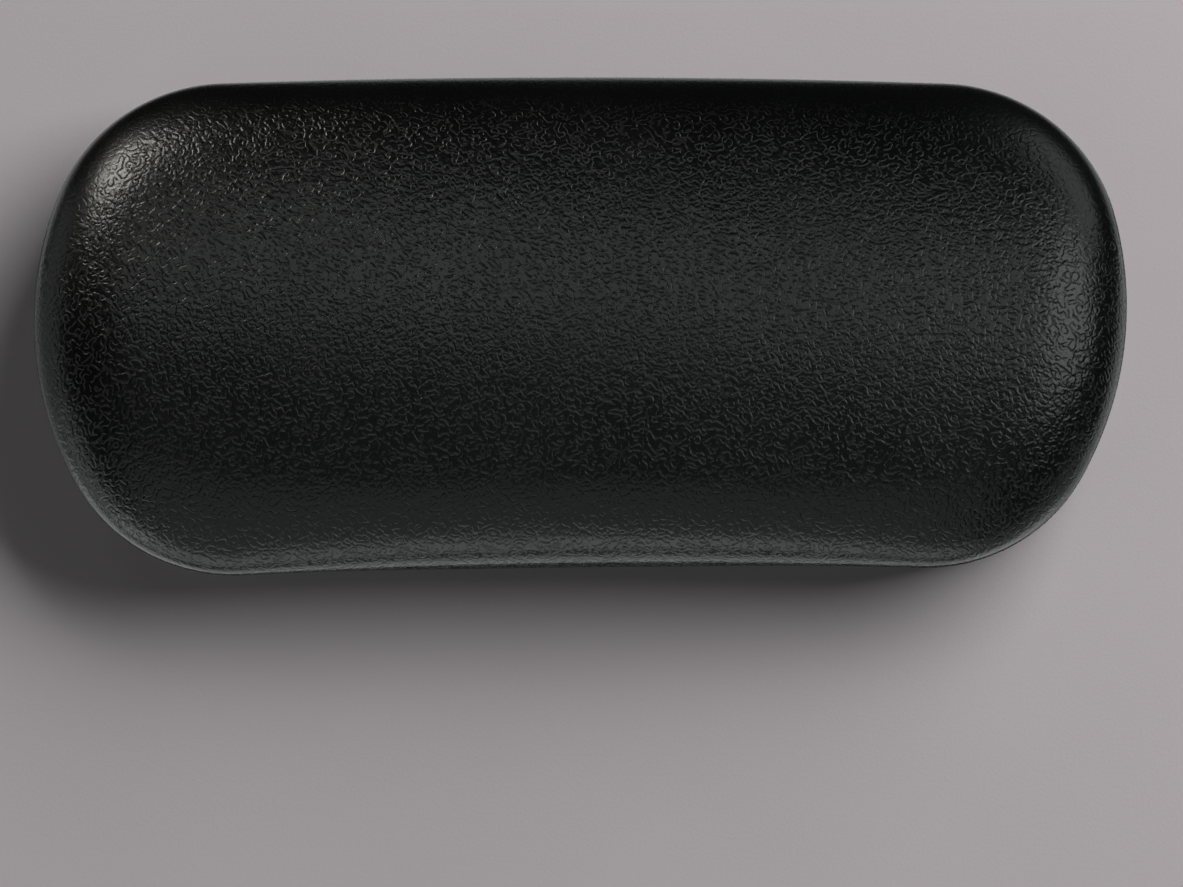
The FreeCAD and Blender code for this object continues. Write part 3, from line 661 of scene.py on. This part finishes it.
def nylon_material():
    """Glass-filled nylon as moulded: dark grey-black, fine sparkle of the fibres, faint flow marks."""
    m = Material("nylon", (0.03, 0.03, 0.032), 0.5)
    flow = m.noise(16 * MM, detail=4.0, Distortion=1.5)
    fibre = m.noise(0.35 * MM, detail=3.0, Distortion=2.0)
    flow = m.spread(flow, 0.35, 0.65)
    m.link(m.blend(flow, (0.024, 0.024, 0.026), (0.038, 0.038, 0.040)), "Base Color")
    m.link(m.spread(fibre, 0.35, 0.65, 0.38, 0.62), "Roughness")
    m.bump(fibre, depth=0.02 * MM)
    return m.material


def zinc_material(name, colour, turned):
    """Zinc plating: cloudy spangle, rolling lines along a sheet or turning rings on a turned part."""
    m = Material(name, colour, 0.35, metallic=1.0)
    cloud = m.noise(5 * MM, detail=4.0, Distortion=0.8)
    stretch = (1.0, 1.0, 12.0) if turned else (0.06, 1.0, 1.0)
    along = m.node("ShaderNodeMapping", Vector=m.place, Scale=stretch).outputs["Vector"]
    lines = m.noise(0.5 * MM, detail=3.0, Vector=along)
    m.link(m.blend(m.spread(cloud, 0.3, 0.7), shade(colour, 0.78), colour), "Base Color")
    scratched = m.math("ADD", m.spread(cloud, 0.3, 0.7, 0.30, 0.44), m.math("MULTIPLY", lines, 0.10))
    m.link(scratched, "Roughness")
    m.bump(lines, depth=0.012 * MM)
    return m.material


def oxide_material():
    """Black oxide on steel, oiled, with brighter metal where the driver has rubbed."""
    m = Material("black_oxide", (0.03, 0.03, 0.033), 0.4, metallic=1.0)
    wear = m.spread(m.noise(1.2 * MM, detail=4.0), 0.56, 0.72)
    m.link(m.blend(wear, (0.035, 0.035, 0.039), (0.11, 0.105, 0.10)), "Base Color")
    m.link(m.spread(m.noise(0.6 * MM, detail=3.0), 0.3, 0.7, 0.30, 0.5), "Roughness")
    m.bump(m.noise(0.25 * MM, detail=3.0), depth=0.01 * MM)
    return m.material


def brass_material():
    """Machined brass with fine turning rings."""
    m = Material("brass", (0.62, 0.42, 0.17), 0.3, metallic=1.0)
    rings = m.node("ShaderNodeTexWave", {"bands_direction": "Z"}, Vector=m.place, Scale=1 / (0.8 * MM),
                   Distortion=0.6, Detail=2.0).outputs["Fac"]
    tarnish = m.spread(m.noise(2.5 * MM, detail=3.0), 0.35, 0.7)
    m.link(m.blend(tarnish, (0.68, 0.47, 0.19), (0.50, 0.33, 0.13)), "Base Color")
    m.link(m.spread(rings, 0.0, 1.0, 0.24, 0.38), "Roughness")
    m.bump(rings, depth=0.01 * MM)
    return m.material


def finish_nodes(names, material):
    """Give CAD nodes a finish through their objects' own material slots."""
    for name in names:
        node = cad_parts[name]
        if not node.material_slots:
            node.data.materials.append(material)
        for slot in node.material_slots:
            slot.link = "OBJECT"
            slot.material = material


# ---- camera, lights and stage -----------------------------------------------------------------

def aim(thing, place, target):
    """Put a camera or a light at a place, facing a target."""
    thing.location = place
    thing.rotation_euler = (target - place).to_track_quat("-Z", "Y").to_euler()


def towards(azimuth, elevation):
    """Unit direction. Azimuth in degrees from +X towards +Y."""
    a, e = math.radians(azimuth), math.radians(elevation)
    return Vector((math.cos(e) * math.cos(a), math.cos(e) * math.sin(a), math.sin(e)))


def camera():
    """Almost straight above the pad, a little to its inner side."""
    view = bpy.data.cameras.new("camera")
    view.lens = CAMERA_LENS
    view.sensor_width = CAMERA_SENSOR
    thing = link_object("camera", view)
    away = towards(CAMERA_AZIMUTH, CAMERA_ELEVATION) * CAMERA_DISTANCE
    aim(thing, CAMERA_TARGET + away, CAMERA_TARGET)
    bpy.context.scene.camera = thing


def softbox(name, azimuth, elevation, distance, width, height, power, colour, gloss):
    """A soft light. It either lights the scene or, as a gloss card, only shows in reflections."""
    lamp = bpy.data.lights.new(name, "AREA")
    lamp.shape = "RECTANGLE"
    lamp.size = width
    lamp.size_y = height
    lamp.energy = power
    lamp.color = colour
    box = link_object(name, lamp)
    box.visible_glossy = gloss
    box.visible_diffuse = not gloss
    aim(box, towards(azimuth, elevation) * distance, Vector((0, 0, 0)))


def lights():
    """The lamps, and a world that is almost dark."""
    for row in SOFT_LIGHTS:
        softbox(*row, gloss=False)
    for row in GLOSS_CARDS:
        softbox(*row, gloss=True)
    world = bpy.data.worlds.new("studio")
    world.use_nodes = True
    background = world.node_tree.nodes["Background"]
    background.inputs["Color"].default_value = (*WHITE, 1)
    background.inputs["Strength"].default_value = WORLD_STRENGTH
    bpy.context.scene.world = world


def stage_sheet(name, verts, faces, material):
    """A piece of the stage that reflections don't show and that casts no shadow."""
    mesh = bpy.data.meshes.new(name)
    mesh.from_pydata(verts, [], faces)
    mesh.materials.append(material)
    sheet = link_object(name, mesh)
    sheet.visible_glossy = False
    sheet.visible_shadow = False
    return sheet


def stage():
    """A round floor of pale paper, and a plain wall round it that lights nothing."""
    paper = Material("paper", FLOOR_COLOUR, 0.8)
    cloud = paper.noise(60 * MM, detail=3.0)
    paper.link(paper.blend(cloud, shade(FLOOR_COLOUR, 0.96), shade(FLOOR_COLOUR, 1.04)), "Base Color")
    paper.bump(paper.noise(0.7 * MM, detail=3.0), depth=0.02 * MM)
    wall = Material("wall", (0, 0, 0), 1.0)
    wall.shader.inputs["Emission Color"].default_value = (*WALL_COLOUR, 1)
    wall.shader.inputs["Emission Strength"].default_value = 1.0

    rim = [towards(360 * k / STAGE_SIDES, 0) * STAGE_RADIUS for k in range(STAGE_SIDES)]
    top = [place + Vector((0, 0, STAGE_RADIUS)) for place in rim]
    panels = []
    for k in range(STAGE_SIDES):
        after = (k + 1) % STAGE_SIDES
        panels.append((k, after, after + STAGE_SIDES, k + STAGE_SIDES))
    stage_sheet("floor", rim, [range(STAGE_SIDES)], paper.material)
    backdrop = stage_sheet("backdrop", rim + top, panels, wall.material)
    backdrop.visible_diffuse = False


# ---- the whole scene --------------------------------------------------------------------------

camera()

skin = make_skin()
skin.data.materials.append(skin_material())
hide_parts("skin")
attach(skin, "root")

foam = make_foam()
foam.data.materials.append(foam_material())
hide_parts("foam_core")
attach(foam, "root")

finish_nodes(["support_insert"], nylon_material())
finish_nodes(["mounting_plate"], zinc_material("zinc_sheet", ZINC_SHEET, turned=False))
finish_nodes(nodes_named("clinch_nut"), zinc_material("zinc_turned", ZINC_TURNED, turned=True))
finish_nodes(nodes_named("plate_screw"), oxide_material())
finish_nodes(nodes_named("brass_insert"), brass_material())

lights()
stage()
bpy.context.scene.view_settings.view_transform = "Standard"
